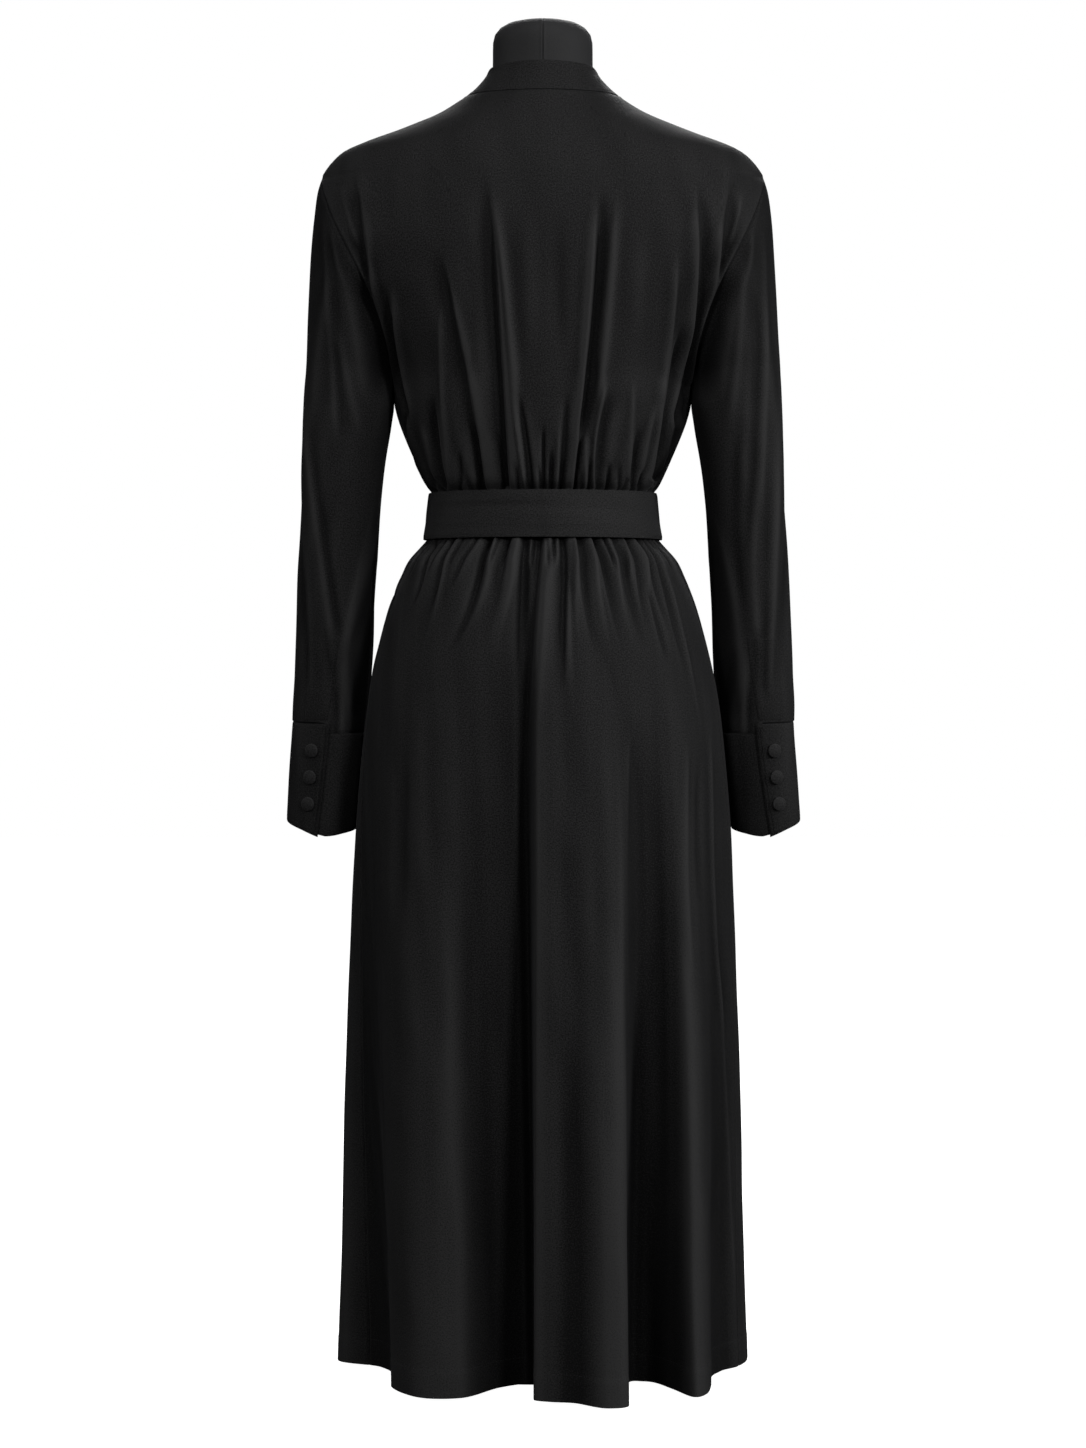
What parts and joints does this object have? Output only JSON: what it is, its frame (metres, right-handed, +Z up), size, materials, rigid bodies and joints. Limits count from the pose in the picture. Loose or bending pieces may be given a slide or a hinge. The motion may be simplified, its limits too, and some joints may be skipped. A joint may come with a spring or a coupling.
{
  "type": "wrap dress on dress form",
  "caption": "Long-sleeved midi wrap dress with a gathered waist, tied belt, neckband and deep buttoned cuffs, on a limbless dress form with an oval base.",
  "frame": {"origin": "centre of the base plate's underside, on the floor", "axes": "+Z up; +Y out of the dress's front, where the wrap closes; +X to the wearer's right; the back faces -Y"},
  "size_m": [0.4854, 0.4026, 1.2715],
  "materials": {
    "black_crepe": "matte black crepe with a faint sheen on the folds",
    "black_jersey_cover": "matte black knitted cover, tight over the form",
    "black_steel": "satin black enamel"
  },
  "bodies": {
    "root": {"bodice_back": "black_crepe", "bodice_front_right": "black_crepe", "bodice_front_left": "black_crepe", "neckband": "black_crepe", "skirt_back": "black_crepe", "skirt_front_right": "black_crepe", "skirt_front_left": "black_crepe", "sleeve_right": "black_crepe", "sleeve_left": "black_crepe", "cuff_right": "black_crepe", "cuff_left": "black_crepe", "sleeve_placket_right": "black_crepe", "sleeve_placket_left": "black_crepe", "button_right_1": "black_crepe", "button_right_2": "black_crepe", "button_right_3": "black_crepe", "button_left_1": "black_crepe", "button_left_2": "black_crepe", "button_left_3": "black_crepe", "belt": "black_crepe", "belt_knot": "black_crepe", "belt_end_long": "black_crepe", "belt_end_short": "black_crepe", "form_torso": "black_jersey_cover", "form_pole": "black_steel", "form_base": "black_steel"}
  },
  "joints": []
}
